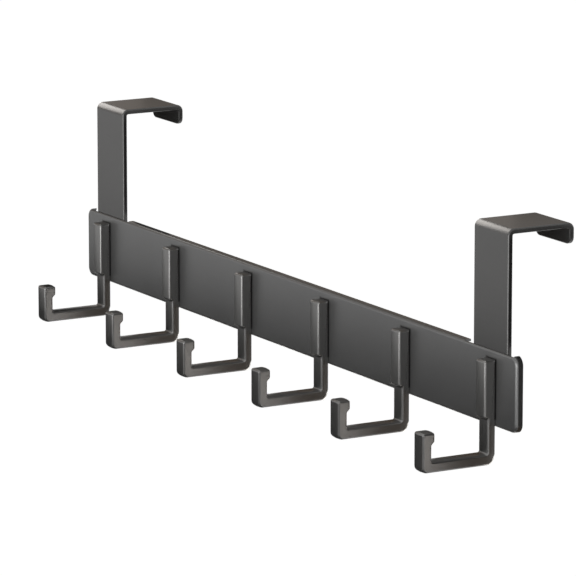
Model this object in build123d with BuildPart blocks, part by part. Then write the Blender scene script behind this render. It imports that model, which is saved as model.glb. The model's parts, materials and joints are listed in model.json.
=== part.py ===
import os

from build123d import *

# Over door hook rack. Millimetres, +Z up, the door behind the plate towards +Y.
# The origin is midway between the straps, where the door's top edge meets its front face.

# Hooks: a thick pad on the plate, a thinner neck, an arm forward and an upright tip with a lip
hook_count = 6
hook_pitch = 88.0
hook_width = 9.4
pad_height = 31.5
pad_thickness = 7.0
neck_length = 19.2
neck_thickness = 4.9
arm_thickness = 6.2
hook_reach = 44.8
tip_rise = 15.8
tip_thickness = 6.2
lip_depth = 1.9
lip_height = 5.3
lip_slope_height = 1.8
hook_heel_radius = 4.3
hook_toe_radius = 3.4
hook_inner_radius = 0.8
hook_corner_radius = 1.5
hook_edge_radius = 1.2

# Back plate: a sheet pan, open at the back, with a rim all round and a notch at each strap
plate_end_margin = 25.0
plate_height = 41.3
plate_drop = 63.5
plate_wall = 1.2
plate_corner_radius = 5.0
plate_inner_bend = 0.5
rim_notch_gap = 7.0
wall_notch_depth = 0.6

# Straps: flat bar bent over the door, its leg lying in the pan flush with the rim
strap_width = 34.0
strap_thickness = 3.0
strap_setback = 3.0
strap_inner_bend = 1.0
strap_corner_radius = 4.0
strap_edge_radius = 0.8
strap_end_gap = 2.0
door_gap = 35.0
strap_lip_drop = 12.0

# Screws, all of one thread, driven from behind into the pads of the hooks
screw_diameter = 4.0
screw_spacing = 18.0
screw_hole_clearance = 0.2
thread_depth = 4.0
thread_clearance = 0.02
thread_end_gap = 0.6
thread_point_chamfer = 0.5
pan_head_diameter = 7.0
pan_head_height = 1.9
pan_head_edge_radius = 0.6
sunk_head_diameter = 7.4
sunk_head_recess = 0.1
drive_length = 4.0
drive_width = 0.9
drive_depth = 1.0

# Places that follow from the sizes above
plate_length = (hook_count - 1) * hook_pitch + 2 * plate_end_margin
plate_depth = strap_thickness + plate_wall
plate_middle_z = -plate_drop - plate_height / 2
plate_outer_bend = plate_inner_bend + plate_wall
hook_places = [(index - (hook_count - 1) / 2) * hook_pitch for index in range(hook_count)]
screw_places_z = [plate_middle_z - screw_spacing / 2, plate_middle_z + screw_spacing / 2]
strap_x = hook_places[-1] - strap_setback
notch_width = strap_width + 2 * rim_notch_gap

os.makedirs("parts", exist_ok=True)


def facing_front(y):
    """A sketch plane at depth y: its x is the row's X, its y is Z, and it faces the room."""
    return Plane(origin=(0, y, 0), x_dir=(1, 0, 0), z_dir=(0, -1, 0))


def corner_at(sketch, x, y):
    """The sketch's corner nearest a point of its own plane."""
    return sketch.vertices().sort_by_distance((x, y, 0))[0]


def save(part, name):
    """Label a finished piece and write it to its own file."""
    part.label = name
    export_step(part, f"parts/{name}.step")


# The pan is a rounded slab with bent front edges, hollowed from behind to the strap's thickness
with BuildPart() as back_plate:
    with BuildSketch(facing_front(0)):
        with Locations((0, plate_middle_z)):
            RectangleRounded(plate_length, plate_height, plate_corner_radius)
    extrude(amount=plate_depth)
    fillet(back_plate.faces().sort_by(Axis.Y)[0].edges(), radius=plate_outer_bend)
    with BuildSketch(facing_front(0)):
        with Locations((0, plate_middle_z)):
            RectangleRounded(
                plate_length - 2 * plate_wall,
                plate_height - 2 * plate_wall,
                plate_corner_radius - plate_wall,
            )
    extrude(amount=strap_thickness, mode=Mode.SUBTRACT)
    pan_floor = back_plate.faces().filter_by(Axis.Y).sort_by(Axis.Y)[1]
    fillet(pan_floor.outer_wire().edges(), radius=plate_inner_bend)
    # The rim is cut away for each strap, and the wall there stands a little lower
    with BuildSketch(Plane.XY.offset(-plate_drop)):
        with Locations((-strap_x, -strap_thickness / 2), (strap_x, -strap_thickness / 2)):
            Rectangle(notch_width, strap_thickness)
    extrude(amount=-plate_outer_bend, mode=Mode.SUBTRACT)
    with BuildSketch(Plane.XY.offset(-plate_drop)):
        with Locations((-strap_x, -plate_depth / 2), (strap_x, -plate_depth / 2)):
            Rectangle(notch_width, plate_depth)
    extrude(amount=-wall_notch_depth, mode=Mode.SUBTRACT)
    with BuildSketch(facing_front(-strap_thickness)):
        with Locations(*[(x, z) for x in hook_places for z in screw_places_z]):
            Circle(screw_diameter / 2 + screw_hole_clearance)
    extrude(amount=plate_wall, mode=Mode.SUBTRACT)
save(back_plate.part, "back_plate")

# Each hook is one profile, seen from its side, carried across the hook's width
pad_back = -plate_depth
pad_front = pad_back - pad_thickness
neck_front = pad_back - neck_thickness
tip_front = pad_back - hook_reach
tip_back = tip_front + tip_thickness
lip_back = tip_back + lip_depth
pad_top = plate_middle_z + pad_height / 2
pad_foot = plate_middle_z - pad_height / 2
arm_top = pad_foot - neck_length
arm_foot = arm_top - arm_thickness
tip_top = arm_top + tip_rise
lip_foot = tip_top - lip_height

for number, hook_x in enumerate(hook_places, start=1):
    with BuildPart() as hook:
        with BuildSketch(Plane.YZ.offset(hook_x)) as side_view:
            with BuildLine():
                Polyline(
                    (pad_back, pad_top),
                    (pad_front, pad_top),
                    (pad_front, pad_foot),
                    (neck_front, pad_foot),
                    (neck_front, arm_top),
                    (tip_back, arm_top),
                    (tip_back, lip_foot - lip_slope_height),
                    (lip_back, lip_foot),
                    (lip_back, tip_top),
                    (tip_front, tip_top),
                    (tip_front, arm_foot),
                    (pad_back, arm_foot),
                    close=True,
                )
            make_face()
            fillet(corner_at(side_view, pad_back, arm_foot), radius=hook_heel_radius)
            fillet(corner_at(side_view, tip_front, arm_foot), radius=hook_toe_radius)
            for y in (neck_front, tip_back):
                fillet(corner_at(side_view, y, arm_top), radius=hook_inner_radius)
            for y, z in (
                (pad_front, pad_top),
                (pad_front, pad_foot),
                (tip_front, tip_top),
                (lip_back, tip_top),
                (lip_back, lip_foot),
            ):
                fillet(corner_at(side_view, y, z), radius=hook_corner_radius)
        extrude(amount=hook_width / 2, both=True)
        sides = hook.faces().filter_by(Axis.X)
        seat = hook.faces().filter_by(Axis.Y).sort_by(Axis.Y)[-1]
        rounded = [edge for edge in sides.edges() if edge not in seat.edges()]
        fillet(rounded, radius=hook_edge_radius)
        with BuildSketch(facing_front(pad_back)):
            with Locations(*[(hook_x, z) for z in screw_places_z]):
                Circle(screw_diameter / 2 + thread_clearance)
        extrude(amount=thread_depth + thread_end_gap, mode=Mode.SUBTRACT)
    save(hook.part, f"hook_{number}")

# Each strap is bent from flat bar: a leg in the pan, a top over the door and a short lip behind it
leg_foot = -plate_drop - plate_height + plate_wall + strap_end_gap
lip_face = door_gap + strap_thickness
lip_end = strap_thickness - strap_lip_drop
sink_radius = sunk_head_diameter / 2 + sunk_head_recess

for name, side in (("strap_left", -1), ("strap_right", 1)):
    with BuildPart() as strap:
        with BuildSketch(Plane.YZ.offset(side * strap_x)):
            with BuildLine():
                outer_line = FilletPolyline(
                    (-strap_thickness, leg_foot),
                    (-strap_thickness, strap_thickness),
                    (lip_face, strap_thickness),
                    (lip_face, lip_end),
                    radius=strap_inner_bend + strap_thickness,
                )
                offset(outer_line, amount=strap_thickness, side=Side.RIGHT)
            make_face()
        extrude(amount=strap_width / 2, both=True)
        leg_corners, lip_corners = strap.edges().filter_by(Axis.Y).group_by(Axis.Z)[:2]
        fillet(leg_corners + lip_corners, radius=strap_corner_radius)
        fillet(strap.faces().filter_by(Axis.X).edges(), radius=strap_edge_radius)
        screw_x = side * hook_places[-1]
        with Locations(*[Plane((screw_x, 0, z), z_dir=(0, 1, 0)) for z in screw_places_z]):
            CounterSinkHole(screw_diameter / 2 + screw_hole_clearance, sink_radius, strap_thickness, 90)
    save(strap.part, name)

# The inner hooks' screws have pan heads that stand in the pan, lower than its rim
with BuildPart() as pan_screw:
    with BuildSketch(facing_front(0)):
        Circle(screw_diameter / 2)
    extrude(amount=plate_wall + thread_depth)
    chamfer(pan_screw.faces().sort_by(Axis.Y)[0].edges(), length=thread_point_chamfer)
    with BuildSketch(facing_front(0)):
        Circle(pan_head_diameter / 2)
    extrude(amount=-pan_head_height)
    fillet(pan_screw.faces().sort_by(Axis.Y)[-1].edges(), radius=pan_head_edge_radius)
    with BuildSketch(facing_front(pan_head_height)):
        Rectangle(drive_length, drive_width)
        Rectangle(drive_width, drive_length)
    extrude(amount=drive_depth, mode=Mode.SUBTRACT)

with BuildPart() as hook_screws:
    with Locations(*[(x, -strap_thickness, z) for x in hook_places[1:-1] for z in screw_places_z]):
        add(pan_screw.part)
save(hook_screws.part, "hook_screws")

# The straps' screws have flat heads, sunk just below the strap's back, and reach the end hooks
with BuildPart() as sunk_screw:
    head_radius = sunk_head_diameter / 2
    shank_radius = screw_diameter / 2
    point = -(plate_depth - sunk_head_recess + thread_depth)
    with BuildSketch(Plane.XY):
        Polygon(
            (0, 0),
            (head_radius, 0),
            (shank_radius, shank_radius - head_radius),
            (shank_radius, point + thread_point_chamfer),
            (shank_radius - thread_point_chamfer, point),
            (0, point),
            align=None,
        )
    revolve(axis=Axis.Y)
    with BuildSketch(facing_front(0)):
        Rectangle(drive_length, drive_width)
        Rectangle(drive_width, drive_length)
    extrude(amount=drive_depth, mode=Mode.SUBTRACT)

with BuildPart() as strap_screws:
    ends = (hook_places[0], hook_places[-1])
    with Locations(*[(x, -sunk_head_recess, z) for x in ends for z in screw_places_z]):
        add(sunk_screw.part)
save(strap_screws.part, "strap_screws")
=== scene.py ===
import json
import math

import bpy
import numpy as np
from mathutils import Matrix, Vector


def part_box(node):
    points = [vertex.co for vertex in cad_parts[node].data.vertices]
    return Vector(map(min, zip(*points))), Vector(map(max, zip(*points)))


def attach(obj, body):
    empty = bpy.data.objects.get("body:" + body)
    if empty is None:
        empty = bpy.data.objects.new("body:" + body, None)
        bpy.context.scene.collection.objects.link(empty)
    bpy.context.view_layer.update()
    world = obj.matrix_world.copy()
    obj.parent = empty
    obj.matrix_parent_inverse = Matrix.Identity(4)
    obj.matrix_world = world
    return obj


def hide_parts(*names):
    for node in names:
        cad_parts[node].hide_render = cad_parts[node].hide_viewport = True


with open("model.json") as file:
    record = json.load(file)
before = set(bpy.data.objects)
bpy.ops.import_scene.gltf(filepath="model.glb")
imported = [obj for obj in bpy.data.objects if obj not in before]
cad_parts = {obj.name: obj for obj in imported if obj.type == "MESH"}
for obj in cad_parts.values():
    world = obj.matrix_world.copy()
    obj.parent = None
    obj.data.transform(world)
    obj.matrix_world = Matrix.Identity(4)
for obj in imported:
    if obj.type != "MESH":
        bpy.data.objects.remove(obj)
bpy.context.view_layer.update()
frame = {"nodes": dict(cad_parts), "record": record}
nodes = frame["nodes"]
mm = 0.001


# Camera: a long lens from the right and a little above, as the photograph was taken
print("camera")
cameraPlan = {
    "azimuth": 60.49,  # degrees from straight in front, towards the right
    "elevation": 11.57,
    "place": (2.31646, -1.31372, 0.47491),
    "lens": 300.1,
    "sensor": 36.0,
    "reach": 50.0,  # how far it sees
}


def addCamera(plan):
    data = bpy.data.cameras.new("rackCamera")
    data.lens = plan["lens"]
    data.sensor_width = plan["sensor"]
    data.clip_end = plan["reach"]
    camera = bpy.data.objects.new("rackCamera", data)
    camera.location = plan["place"]
    camera.rotation_euler = (math.radians(90 - plan["elevation"]), 0, math.radians(plan["azimuth"]))
    bpy.context.scene.collection.objects.link(camera)
    bpy.context.scene.camera = camera


addCamera(cameraPlan)


# Shader maths written as plain expressions
class Field:
    def __init__(self, shader, socket):
        self.shader = shader
        self.socket = socket

    def maths(self, operation, first, second=0.0):
        return self.shader.add("ShaderNodeMath", {"operation": operation}, {0: first, 1: second})

    def __add__(self, other):
        return self.maths("ADD", self, other)

    def __radd__(self, other):
        return self.maths("ADD", other, self)

    def __sub__(self, other):
        return self.maths("SUBTRACT", self, other)

    def __rsub__(self, other):
        return self.maths("SUBTRACT", other, self)

    def __mul__(self, other):
        return self.maths("MULTIPLY", self, other)

    def __rmul__(self, other):
        return self.maths("MULTIPLY", other, self)

    def __abs__(self):
        return self.maths("ABSOLUTE", self)

    def larger(self, other):
        return self.maths("MAXIMUM", self, other)

    def smaller(self, other):
        return self.maths("MINIMUM", self, other)


class Shader:
    def __init__(self, owner):
        owner.use_nodes = True
        self.owner = owner
        self.tree = owner.node_tree
        self.tree.nodes.clear()

    # one node: its settings first, then the values or links of its sockets, then one of its outputs
    def add(self, kind, settings=None, sockets=None, output=0):
        node = self.tree.nodes.new(kind)
        for name, value in (settings or {}).items():
            setattr(node, name, value)
        for name, value in (sockets or {}).items():
            if isinstance(value, Field):
                self.tree.links.new(value.socket, node.inputs[name])
            else:
                node.inputs[name].default_value = value
        return Field(self, node.outputs[output]) if len(node.outputs) else None

    # a Mix node takes two colours at its sockets 6 and 7, and gives the mixed one at its output 2
    def mixColours(self, factor, first, second):
        return self.add("ShaderNodeMix", {"data_type": "RGBA"}, {0: factor, 6: first, 7: second}, 2)


# Hooks: the sizes of one. They stand before the coats, because they also place the painted shade in them
hookPlan = {
    "padHeight": 31.5 * mm,
    "padThickness": 7.0 * mm,
    "neckThickness": 4.9 * mm,
    "armThickness": 6.2 * mm,
    "tipRise": 15.8 * mm,
    "tipThickness": 6.2 * mm,
    "lipDepth": 1.9 * mm,
    "lipHeight": 5.3 * mm,
    "lipSlope": 1.8 * mm,
    "heel": 4.3 * mm,
    "toe": 3.4 * mm,
    "corner": 1.5 * mm,
    "inner": 0.8 * mm,
    "tight": 0.3 * mm,  # corners that look sharp
    "edge": 1.2 * mm,  # rounding of the long edges
    "seatEdge": 0.5 * mm,  # the same where the pad meets the plate
    "crown": 0.25 * mm,  # how much lower a face lies at its edges than on its middle line
    "fade": 1.6 * mm,  # the run over which the rounding changes
    "arcSteps": 7,
    "edgeSteps": 6,
    "crownSteps": 8,
    "flatWeight": 90,  # how far the large faces decide the shading at their borders
}
hookNodes = sorted(name for name in nodes if name.startswith("hook_") and name != "hook_screws")
hookBoxes = [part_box(node) for node in hookNodes]
hookPitch = hookBoxes[1][0].x - hookBoxes[0][0].x


# Coatings: a satin powder coat with fine metal flake, and dark plated steel for the screws
print("materials")
coatPlans = {
    "plate_coating": {
        "dark": (0.138, 0.138, 0.138),
        "light": (0.165, 0.165, 0.164),
        "roughness": 0.38,
        "metallic": 0.85,
        "withPaintedShade": True,  # with painted shade in the joints at the pads and painted shadow under their feet
    },
    "hook_coating": {
        "dark": (0.160, 0.158, 0.155),
        "light": (0.190, 0.188, 0.184),
        "roughness": 0.31,
        "metallic": 0.85,
        "withPaintedShade": True,
    },
    "strap_coating": {
        "dark": (0.076, 0.075, 0.074),
        "light": (0.092, 0.091, 0.090),
        "roughness": 0.36,
        "metallic": 0.85,
        "withPaintedShade": False,
    },
    "screw_steel": {
        "dark": (0.20, 0.20, 0.21),
        "light": (0.30, 0.30, 0.31),
        "roughness": 0.30,
        "metallic": 1.0,
        "withPaintedShade": False,
    },
}
coatDetail = {
    "roughnessSpread": 0.04,
    "flakeScale": 2600.0,  # cells a metre: flakes about 0.4 mm across
    "flakeShare": 0.4,  # how much of the tone follows the flakes
    "cloudScale": 28.0,  # slow changes in the coat's thickness, about 35 mm across
    "cloudShare": 0.6,
    "cloudDetail": 3.0,
    "peelScale": 700.0,  # the dimpled skin of a powder coat, about 1.4 mm from dimple to dimple
    "peelDetail": 2.0,
    "peelHeight": 0.003 * mm,
}
# Where the painted shade and painted shadow lie: round each pad's seat on the plate, and under its foot
padLow, padHigh = hookBoxes[-1]
paintedShadePlan = {
    "colour": (0.0, 0.0, 0.0),
    "depth": 0.75,  # its share of the colour where it is strongest
    "width": 1.3 * mm,
    "pitch": hookPitch,
    "oneHook": (padLow.x + padHigh.x) / 2,  # the middle of any one hook
    "halfWidth": (padHigh.x - padLow.x) / 2,
    "middle": padHigh.z - hookPlan["padHeight"] / 2,  # the pads' mid height
    "halfHeight": hookPlan["padHeight"] / 2,
    "padFoot": padHigh.z - hookPlan["padHeight"],
    "plateFront": padHigh.y,
    "neckFront": padHigh.y - hookPlan["neckThickness"],
}


# Painted shade in the joint round each pad and painted shadow in the corner under its foot, strongest there
# and gone at the width away. The hooks repeat at one pitch, so the distance along x from the nearest folds
# back and forth.
def paintedJointShade(shader, place, plan):
    across, depth, height = (
        shader.add("ShaderNodeSeparateXYZ", None, {"Vector": place}, axis) for axis in ("X", "Y", "Z")
    )
    fromHook = shader.add(
        "ShaderNodeMath", {"operation": "PINGPONG"}, {0: across - plan["oneHook"], 1: plan["pitch"] / 2}
    )
    beside = fromHook - plan["halfWidth"]
    above = abs(height - plan["middle"]) - plan["halfHeight"]
    roundPad = beside.larger(above).larger(abs(depth - plan["plateFront"]))
    underPad = abs(height - plan["padFoot"]).larger(depth - plan["neckFront"])
    away = roundPad.smaller(underPad)
    return shader.add(
        "ShaderNodeMapRange",
        {"interpolation_type": "SMOOTHSTEP"},
        {"Value": away, "From Min": 0.0, "From Max": plan["width"], "To Min": plan["depth"], "To Max": 0.0},
        "Result",
    )


def addNoise(shader, place, scale, detail):
    return shader.add("ShaderNodeTexNoise", None, {"Vector": place, "Scale": scale, "Detail": detail}, "Fac")


def makeCoat(name, plan, detail, shade):
    shader = Shader(bpy.data.materials.new(name))
    place = shader.add("ShaderNodeTexCoord", output="Object")
    cells = {"Vector": place, "Scale": detail["flakeScale"]}
    flake = shader.add("ShaderNodeTexVoronoi", {"feature": "F1"}, cells, "Distance")
    cloud = addNoise(shader, place, detail["cloudScale"], detail["cloudDetail"])
    peel = addNoise(shader, place, detail["peelScale"], detail["peelDetail"])
    tone = cloud * detail["cloudShare"] + flake * detail["flakeShare"]
    colour = shader.mixColours(tone, (*plan["dark"], 1), (*plan["light"], 1))
    # painted shade at the pads' seats and painted shadow under their feet, mixed into the colour
    if plan["withPaintedShade"]:
        colour = shader.mixColours(paintedJointShade(shader, place, shade), colour, (*shade["colour"], 1))
    uneven = (peel - 0.5) * detail["roughnessSpread"] + (flake - 0.5) * detail["roughnessSpread"]
    bump = shader.add("ShaderNodeBump", None, {"Height": peel, "Distance": detail["peelHeight"]}, "Normal")
    surface = shader.add(
        "ShaderNodeBsdfPrincipled",
        None,
        {
            "Base Color": colour,
            "Metallic": plan["metallic"],
            "Roughness": uneven + plan["roughness"],
            "Normal": bump,
        },
        "BSDF",
    )
    shader.add("ShaderNodeOutputMaterial", None, {"Surface": surface})
    return shader.owner


materials = {name: makeCoat(name, plan, coatDetail, paintedShadePlan) for name, plan in coatPlans.items()}
for part in frame["record"]["subparts"]:
    for slot in nodes[part["node"]].material_slots:
        slot.material = materials[part["material_slot"]]


def addMesh(name, points, faces, material):
    mesh = bpy.data.meshes.new(name)
    mesh.from_pydata(points, [], faces)
    mesh.materials.append(material)
    piece = bpy.data.objects.new(name, mesh)
    bpy.context.scene.collection.objects.link(piece)
    return piece


# The hooks are cast bars, a little crowned across their width, with soft edges and a plain seat on the plate
print("hooks")


# A closed outline with round corners. At a corner P with turn t between unit directions d and e, the arc of
# radius r has its centre C = P - d r tan|t/2| - s r n, where n is d turned right and s is the sign of t.
# Its points are C + s r n(u), with n turned by u t for u from 0 to 1, and n(u) is also the outward normal.
# A corner that doesn't turn gives one point.
def roundedOutline(corners, steps):
    leastTurn = 1e-6
    place, radius = corners[:, :2], corners[:, 2]
    step = np.roll(place, -1, 0) - place
    after = step / np.linalg.norm(step, axis=1)[:, None]
    before = np.roll(after, 1, 0)
    cross = before[:, 0] * after[:, 1] - before[:, 1] * after[:, 0]
    turn = np.arctan2(cross, (before * after).sum(1))
    bend = np.where(np.abs(turn) > leastTurn, np.sign(turn), 0.0)
    start = place - before * (radius * np.tan(np.abs(turn) / 2))[:, None]
    outward = np.stack([before[:, 1], -before[:, 0]], 1)
    centre = start - outward * (bend * radius)[:, None]
    angle = turn[:, None] * np.linspace(0, 1, steps)
    cosine, sine = np.cos(angle), np.sin(angle)
    normal = np.stack(
        [
            outward[:, :1] * cosine - outward[:, 1:] * sine,
            outward[:, :1] * sine + outward[:, 1:] * cosine,
        ],
        2,
    )
    point = centre[:, None] + normal * (bend * radius)[:, None, None]
    kept = np.ones((len(corners), steps), bool)
    kept[bend == 0, 1:] = False
    owner = np.broadcast_to(np.arange(len(corners))[:, None], kept.shape)
    return point[kept], normal[kept], owner[kept]


# The distances of a hook's surface from its full outline and from its middle plane, across its width.
# The crown is c (x / a)^2 out to a = w - r + r sin f, where tan f = 2 c / a, and the edge goes on from there:
# inset c + r (cos f - cos g) at x = w - r + r sin g, for g from f to a right angle. As a and f depend on each
# other, they are worked out in turns.
def crossSection(half, edge, crown, edgeSteps, crownSteps):
    turns = 4
    lean = np.zeros_like(edge)
    for _ in range(turns):
        reach = half - edge + edge * np.sin(lean)
        lean = np.arctan2(2 * crown, reach)
    middle = np.linspace(-1, 1, crownSteps + 1)[1:-1]
    share = np.linspace(0, 1, edgeSteps + 1)
    angle = lean[:, None] + (math.pi / 2 - lean[:, None]) * share
    edgeAcross = half - edge[:, None] + edge[:, None] * np.sin(angle)
    edgeInset = crown[:, None] + edge[:, None] * (np.cos(lean)[:, None] - np.cos(angle))
    across = np.concatenate([-edgeAcross[:, ::-1], reach[:, None] * middle, edgeAcross], 1)
    inset = np.concatenate([edgeInset[:, ::-1], crown[:, None] * middle**2, edgeInset], 1)
    return across, inset


def hookCorners(plan, low, high):
    back, front = high.y, low.y
    padFront = back - plan["padThickness"]
    neckFront = back - plan["neckThickness"]
    padFoot = high.z - plan["padHeight"]
    armTop = low.z + plan["armThickness"]
    tipTop = armTop + plan["tipRise"]
    tipBack = front + plan["tipThickness"]
    lipBack = tipBack + plan["lipDepth"]
    lipFoot = tipTop - plan["lipHeight"]
    edge, seat, crown = plan["edge"], plan["seatEdge"], plan["crown"]
    corner, tight, fade = plan["corner"], plan["tight"], plan["fade"]
    return np.array([  # y, z, corner radius, edge radius, crown
        (front, low.z, plan["toe"], edge, crown),
        (back, low.z, plan["heel"], edge, crown),
        (back, low.z + plan["heel"] + fade, 0, seat, 0),
        (back, high.z, tight, seat, 0),
        (back - fade, high.z, 0, edge, crown),
        (padFront, high.z, corner, edge, crown),
        (padFront, padFoot, corner, edge, crown),
        (neckFront, padFoot, tight, edge, crown),
        (neckFront, armTop, plan["inner"], edge, crown),
        (tipBack, armTop, plan["inner"], edge, crown),
        (tipBack, lipFoot - plan["lipSlope"], plan["inner"], edge, crown),
        (lipBack, lipFoot, corner, edge, crown),
        (lipBack, tipTop, corner, edge, crown),
        (front, tipTop, corner, edge, crown),
    ])


# The outline's points carried across the hook's width: each moves in along its own normal by the inset there
def addHook(name, node, plan):
    low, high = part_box(node)
    corners = hookCorners(plan, low, high)
    point, normal, owner = roundedOutline(corners[:, :3], plan["arcSteps"])
    across, inset = crossSection(
        (high.x - low.x) / 2, corners[owner, 3], corners[owner, 4], plan["edgeSteps"], plan["crownSteps"]
    )
    rows, columns = across.shape
    surface = np.empty((rows, columns, 3))
    surface[..., 0] = (low.x + high.x) / 2 + across
    surface[..., 1:] = point[:, None] - normal[:, None] * inset[..., None]
    index = np.arange(rows * columns).reshape(rows, columns)
    following = np.roll(index, -1, 0)
    quads = np.stack([index[:, :-1], following[:, :-1], following[:, 1:], index[:, 1:]], 2).reshape(-1, 4)
    sides = [index[::-1, 0].tolist(), index[:, -1].tolist()]
    piece = addMesh(name, surface.reshape(-1, 3).tolist(), quads.tolist() + sides, materials["hook_coating"])
    piece.data.shade_smooth()
    finish = piece.modifiers.new("flatFacesStayFlat", "WEIGHTED_NORMAL")
    finish.mode = "FACE_AREA"
    finish.weight = plan["flatWeight"]
    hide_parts(node)
    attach(piece, "root")


for node in hookNodes:
    addHook(node.replace("hook_", "castHook"), node, hookPlan)


# Screws: turned heads with a cross recess, and a cut thread. The hooks' have pan heads, the straps' sunk ones
print("screws")
screwPlan = {
    "recessReach": 2.0 * mm,  # half the length of the cross
    "recessHalfWidth": 0.45 * mm,
    "recessDepth": 1.0 * mm,
    "recessFloor": 0.82,  # the floor's size as a share of the mouth's
    "cornerPower": 8,
    "shankRadius": 2.0 * mm,
    "pitch": 0.7 * mm,
    "threadDepth": 0.38 * mm,
    "threadSteps": 6,  # rows in one turn
    "pointLength": 0.5 * mm,
    "columns": 64,
    "arcSteps": 6,
    "sharpAngle": 40,  # degrees between two faces, past which the edge between them shows
}
headPlans = {
    "hook_screws": {
        "across": 4,  # pairs of screws side by side
        "radius": 3.5 * mm,
        "height": 1.9 * mm,
        "edge": 0.6 * mm,
        "dome": 0.18 * mm,
    },
    "strap_screws": {
        "across": 2,
        "radius": 3.7 * mm,
        "height": 1.7 * mm,
        "edge": 0.0,
        "dome": 0.0,
    },
}


# Rows of a screw from its recess to its point, each with a radius and a distance from the head's top at
# every angle. The cross has the radius (|cos a / reach|^p + |sin a / width|^p)^(-1/p), with a folded to an
# eighth of a turn. A pan head's top falls by dome (r / R)^2, then turns down by its edge's arc. A sunk head
# has a flat top and goes down as a cone. The thread's radius falls from the shank's by its depth times
# 1 - |2 f - 1|, with f the fraction of a turn of distance / pitch + angle / turn, and fades out towards the
# head and the point.
def screwRows(plan, head, length):
    angle = np.linspace(0, 2 * math.pi, plan["columns"], endpoint=False)
    ring = np.zeros((1, plan["columns"]))  # adding it repeats a value at every angle
    folded = np.abs((angle + math.pi / 4) % (math.pi / 2) - math.pi / 4)
    power = plan["cornerPower"]
    cross = (
        (np.cos(folded) / plan["recessReach"]) ** power + (np.sin(folded) / plan["recessHalfWidth"]) ** power
    ) ** (-1 / power)
    flat = head["radius"] - head["edge"]
    share = np.linspace(0, 1, plan["arcSteps"])[:, None]
    top = cross + (flat - cross) * share
    bend = share[1:] * math.pi / 2
    threadLength = length - head["height"] - plan["pointLength"]
    steps = round(threadLength / plan["pitch"] * plan["threadSteps"])
    along = np.linspace(0, threadLength, steps)[:, None]
    turn = (along / plan["pitch"] + angle / (2 * math.pi)) % 1
    fade = np.clip(np.minimum(along, threadLength - along) / plan["pitch"], 0, 1)
    thread = plan["shankRadius"] - plan["threadDepth"] * fade * (1 - np.abs(2 * turn - 1))
    rows = [
        (cross * plan["recessFloor"] + ring, plan["recessDepth"] + ring),
        (top, head["dome"] * (top / flat) ** 2),
    ]
    if head["edge"]:
        arc = flat + head["edge"] * np.sin(bend) + ring
        rows.append((arc, head["dome"] + head["edge"] * (1 - np.cos(bend)) + ring))
        rows.append((head["radius"] + ring, head["height"] + ring))
    rows.append((thread, head["height"] + along + ring))
    rows.append((plan["shankRadius"] - plan["pointLength"] + ring, length + ring))
    radius, below = (np.concatenate(column) for column in zip(*rows))
    return angle, radius, below


# Each row lies round the screw's axis, which runs along y. One more point closes the recess's floor, and one
# the screw's end
def addScrews(name, node, plan, head):
    low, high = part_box(node)
    angle, radius, below = screwRows(plan, head, high.y - low.y)
    middleX = np.linspace(low.x + head["radius"], high.x - head["radius"], head["across"])
    middleZ = np.array([low.z + head["radius"], high.z - head["radius"]])
    middle = np.stack(np.meshgrid(middleX, middleZ, indexing="ij"), -1).reshape(-1, 1, 1, 2)
    screws, (rows, columns) = len(middle), radius.shape
    surface = np.empty((screws, rows, columns, 3))
    surface[..., 0] = middle[..., 0] + radius * np.cos(angle)
    surface[..., 1] = high.y - below
    surface[..., 2] = middle[..., 1] + radius * np.sin(angle)
    count = rows * columns + 2
    points = np.empty((screws, count, 3))
    points[:, :-2] = surface.reshape(screws, -1, 3)
    points[:, -2:, 0] = middle[:, 0, :, 0]
    points[:, -2:, 1] = [high.y - plan["recessDepth"], low.y]
    points[:, -2:, 2] = middle[:, 0, :, 1]
    index = np.arange(rows * columns).reshape(rows, columns)
    following = np.roll(index, -1, 1)
    quads = np.stack([index[:-1], following[:-1], following[1:], index[1:]], 2).reshape(-1, 4)
    floor = np.stack([following[0], index[0], np.full(columns, count - 2)], 1)
    point = np.stack([index[-1], following[-1], np.full(columns, count - 1)], 1)
    faces = []
    for first in range(0, screws * count, count):
        faces += (quads + first).tolist() + (floor + first).tolist() + (point + first).tolist()
    piece = addMesh(name, points.reshape(-1, 3).tolist(), faces, materials["screw_steel"])
    piece.data.shade_smooth()
    piece.data.set_sharp_from_angle(angle=math.radians(plan["sharpAngle"]))
    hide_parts(node)
    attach(piece, "root")


addScrews("panScrews", "hook_screws", screwPlan, headPlans["hook_screws"])
addScrews("sunkScrews", "strap_screws", screwPlan, headPlans["strap_screws"])


# Studio: a white room, a pale floor and soft lamps
print("studio")
studioPlan = {
    "ambient": 0.25,  # the room's light on the rack. To the eye and in reflections it is white
    "floorZ": -1.5,
    "floorHalf": 14.0,
    "floorColour": (0.86, 0.86, 0.85),
    "floorLift": 0.80,  # what the eye and reflections see on top of the light that falls on the floor
    "lampTarget": (0.0, -0.02, -0.08),
    "lampDistance": 3.0,
}
lampPlans = {
    "frontLamp": {"azimuth": 0, "elevation": 4, "size": 0.8, "power": 10.0},
    "edgeLamp": {"azimuth": 28, "elevation": -10, "size": 2.0, "power": 56.0},
    "sideLamp": {"azimuth": 60, "elevation": 0, "size": 0.8, "power": 4.0},
    "backLamp": {"azimuth": 192, "elevation": -14, "size": 1.0, "power": 12.0},
}


# 1 for rays that the eye sees, directly, reflected or through glass, and 0 for those that gather light
def seenRays(shader):
    seen = shader.add("ShaderNodeLightPath", output="Is Camera Ray")
    for name in ("Is Glossy Ray", "Is Transmission Ray"):
        seen = seen.larger(shader.add("ShaderNodeLightPath", output=name))
    return seen


def addWorld(ambient):
    world = bpy.data.worlds.new("whiteRoom")
    bpy.context.scene.world = world
    shader = Shader(world)
    strength = seenRays(shader) * (1 - ambient) + ambient
    glow = shader.add("ShaderNodeBackground", None, {"Color": (1, 1, 1, 1), "Strength": strength})
    shader.add("ShaderNodeOutputWorld", None, {"Surface": glow})


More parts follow.
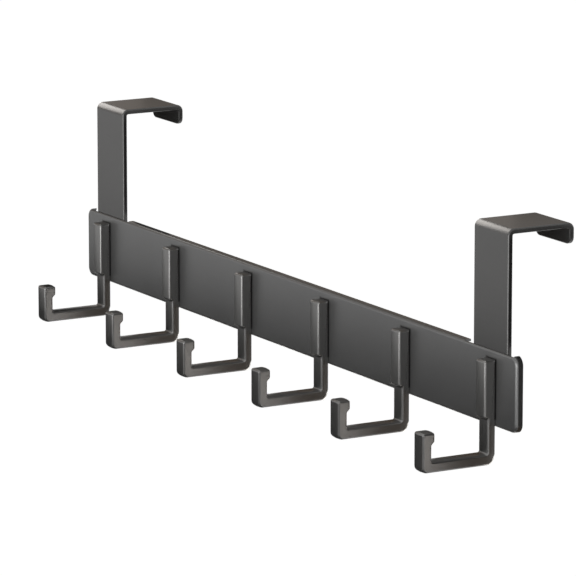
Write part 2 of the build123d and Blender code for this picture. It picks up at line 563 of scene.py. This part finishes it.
def addLamp(name, plan, studio):
    azimuth = math.radians(plan["azimuth"])
    elevation = math.radians(plan["elevation"])
    away = Vector((
        math.sin(azimuth) * math.cos(elevation),
        -math.cos(azimuth) * math.cos(elevation),
        math.sin(elevation),
    ))
    data = bpy.data.lights.new(name, "AREA")
    data.shape = "SQUARE"
    data.size = plan["size"]
    data.energy = plan["power"]
    lamp = bpy.data.objects.new(name, data)
    lamp.location = Vector(studio["lampTarget"]) + away * studio["lampDistance"]
    lamp.rotation_euler = away.to_track_quat("Z", "Y").to_euler()
    bpy.context.scene.collection.objects.link(lamp)


# Corners of flat sheets: one that faces the front, one that faces the side and one that lies level
def frontFacing(left, right, y, low, high):
    return [(left, y, low), (right, y, low), (right, y, high), (left, y, high)]


def sideFacing(x, front, back, low, high):
    return [(x, front, low), (x, back, low), (x, back, high), (x, front, high)]


def lyingLevel(left, right, front, back, z):
    return [(left, front, z), (right, front, z), (right, back, z), (left, back, z)]


def addSheets(name, corners, material):
    faces = [tuple(range(first, first + 4)) for first in range(0, len(corners), 4)]
    sheets = addMesh(name, corners, faces, material)
    return sheets


def addFloor(plan):
    shader = Shader(bpy.data.materials.new("paleFloor"))
    paint = shader.add("ShaderNodeBsdfDiffuse", None, {"Color": (*plan["floorColour"], 1)})
    lift = seenRays(shader) * plan["floorLift"]
    glow = shader.add("ShaderNodeEmission", None, {"Color": (1, 1, 1, 1), "Strength": lift})
    lit = shader.add("ShaderNodeAddShader", None, {0: paint, 1: glow})
    shader.add("ShaderNodeOutputMaterial", None, {"Surface": lit})
    half = plan["floorHalf"]
    addSheets("paleFloor", lyingLevel(-half, half, -half, half, plan["floorZ"]), shader.owner)


addWorld(studioPlan["ambient"])
for name, plan in lampPlans.items():
    addLamp(name, plan, studioPlan)
addFloor(studioPlan)


# Cards: plain glowing sheets, dark and bright, that only reflections see. They set the tones on the metal
print("cards")
plateLow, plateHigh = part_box("back_plate")
leftLow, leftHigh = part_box("strap_left")
rightLow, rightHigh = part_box("strap_right")
gap = 1 * mm  # from a card's edge to the outline of the piece beside it


def addCards(name, corners, plan):
    shader = Shader(bpy.data.materials.new(name))
    colour = (*plan["colour"], 1)
    glow = shader.add("ShaderNodeEmission", None, {"Color": colour, "Strength": plan["strength"]})
    shader.add("ShaderNodeOutputMaterial", None, {"Surface": glow})
    cards = addSheets(name, corners, shader.owner)
    cards.visible_camera = False
    cards.visible_diffuse = False
    cards.visible_shadow = False
    cards.visible_transmission = False


# Nearly black cards in the plane of the door, beside and above the plate, and behind the straps' lips
rearPlan = {
    "colour": (1.0, 0.8, 0.6),
    "strength": 0.01,
    "y": 4 * mm,
    "reach": 0.6,  # how far they go to both sides
    "besideStrap": 45 * mm,  # the width of the one right of the left strap's leg
    "aboveRim": -0.040,  # the foot of the one between the straps. Below it, over the rim, is a dim one
    "lipY": 42 * mm,
    "lipGap": 6 * mm,
    "lipWidth": 80 * mm,
    "lipFoot": -0.060,
}


def rearCards(plan):
    besideStrap = leftHigh.x + plan["besideStrap"]
    corners = []
    for left, right, low in (
        (plateHigh.x + gap, plan["reach"], plateLow.z - gap),
        (-plan["reach"], plateLow.x - gap, plateLow.z - gap),
        (leftHigh.x + gap, besideStrap, plateHigh.z + gap),
        (besideStrap, rightLow.x - gap, plan["aboveRim"]),
        (rightHigh.x + gap, plateHigh.x + gap, plateHigh.z + gap),
        (plateLow.x - gap, leftLow.x - gap, plateHigh.z + gap),
    ):
        corners += frontFacing(left, right, plan["y"], low, -gap)
    for strapSide in (leftHigh.x, rightHigh.x):
        left = strapSide + plan["lipGap"]
        corners += frontFacing(left, left + plan["lipWidth"], plan["lipY"], plan["lipFoot"], -gap)
    return corners


addCards("rearCards", rearCards(rearPlan), rearPlan)


# Dim cards below the plate, which the right sides of the necks and arms reflect, with windows between them
hookCardPlan = {
    "colour": (1.0, 0.5, 0.1),
    "strength": 0.07,
    "left": 12 * mm,  # from the right side of the hook before it
    "right": 79 * mm,
    "foot": -0.160,
}


def hookCards(plan):
    corners = []
    for number in range(len(hookNodes) + 1):
        hookSide = hookBoxes[0][1].x + number * hookPitch
        left, right = hookSide + plan["left"], hookSide + plan["right"]
        corners += frontFacing(left, right, rearPlan["y"], plan["foot"], plateLow.z - gap)
    return corners


addCards("hookCards", hookCards(hookCardPlan), hookCardPlan)


# A dim card far to the left, which the faces that look up reflect
sidePlan = {
    "colour": (1.0, 0.88, 0.78),
    "strength": 0.45,
    "x": -0.9,
    "front": -0.6,
    "back": 1.4,
    "foot": 0.0,
    "top": 0.8,
}
sideCard = sideFacing(sidePlan["x"], sidePlan["front"], sidePlan["back"], sidePlan["foot"], sidePlan["top"])
addCards("sideCard", sideCard, sidePlan)


# Small bright cards left of the straps' tops, which light their front bends, and dim cards further back and
# left, which darken the tops. The card over the plate's top rim is as dim as these
bendPlan = {
    "colour": (1.0, 0.96, 0.92),
    "strength": 5.0,
    "left": 40 * mm,
    "front": -36 * mm,
    "back": 12 * mm,
    "foot": 10 * mm,
    "top": 56 * mm,
}
topPlan = {
    "colour": (1.0, 0.86, 0.74),
    "strength": 0.27,
    "left": 60 * mm,
    "front": 60 * mm,
    "back": 130 * mm,
    "foot": 3 * mm,
    "top": 60 * mm,
}


def cardsLeftOfStraps(plan):
    corners = []
    for strapSide in (leftLow.x, rightLow.x):
        x = strapSide - plan["left"]
        corners += sideFacing(x, plan["front"], plan["back"], plan["foot"], plan["top"])
    return corners


def rimCard(plan):
    left, right = leftHigh.x + plan["besideStrap"], rightLow.x - gap
    return frontFacing(left, right, plan["y"], plateHigh.z + gap, plan["aboveRim"])


addCards("bendCards", cardsLeftOfStraps(bendPlan), bendPlan)
addCards("topCards", rimCard(rearPlan) + cardsLeftOfStraps(topPlan), topPlan)


# Nearly black cards before and below the hooks: a wide one with a sloping top edge, a strip close to the tips
# and a level one at the foot of the wide one
frontPlan = {
    "colour": (1.0, 1.0, 1.0),
    "strength": 0.01,
    "y": -0.12,
    "left": -1.4,
    "leftTop": -0.183,
    "right": 0.4,
    "rightTop": -0.095,
    "foot": -0.24,
    "stripY": -0.060,
    "stripLeft": -0.42,
    "stripRight": 0.26,
    "stripFoot": -0.160,
    "stripTop": -0.118,
}


def frontCards(plan):
    left, right, y, foot = plan["left"], plan["right"], plan["y"], plan["foot"]
    wide = [(left, y, foot), (right, y, foot), (right, y, plan["rightTop"]), (left, y, plan["leftTop"])]
    strip = frontFacing(
        plan["stripLeft"], plan["stripRight"], plan["stripY"], plan["stripFoot"], plan["stripTop"]
    )
    level = lyingLevel(left, right, y, rearPlan["y"], foot)
    return wide + strip + level


addCards("frontCard", frontCards(frontPlan), frontPlan)


# Pale cards just behind the necks, so that the hooks' rounded heels don't reflect the bright strips
heelPlan = {
    "colour": (1.0, 1.0, 1.0),
    "strength": 0.8,
    "behind": 0.8 * mm,
}


def heelCards(plan):
    corners = []
    for low, high in hookBoxes:
        corners += frontFacing(low.x, high.x, high.y + plan["behind"], low.z, plateLow.z - gap)
    return corners


addCards("heelCards", heelCards(heelPlan), heelPlan)


# Bright strips in the windows below the plate, which the right sides of the tips reflect
glowPlan = {
    "colour": (1.0, 0.95, 0.90),
    "strength": 8.6,
    "left": 84 * mm,  # from the right side of the hook
    "right": 93 * mm,
    "foot": -0.146,
    "top": -0.122,
}


def glowCards(plan):
    corners = []
    for _, high in hookBoxes:
        left, right = high.x + plan["left"], high.x + plan["right"]
        corners += frontFacing(left, right, rearPlan["y"], plan["foot"], plan["top"])
    return corners


addCards("glowCards", glowCards(glowPlan), glowPlan)

bpy.context.scene.view_settings.view_transform = "Standard"
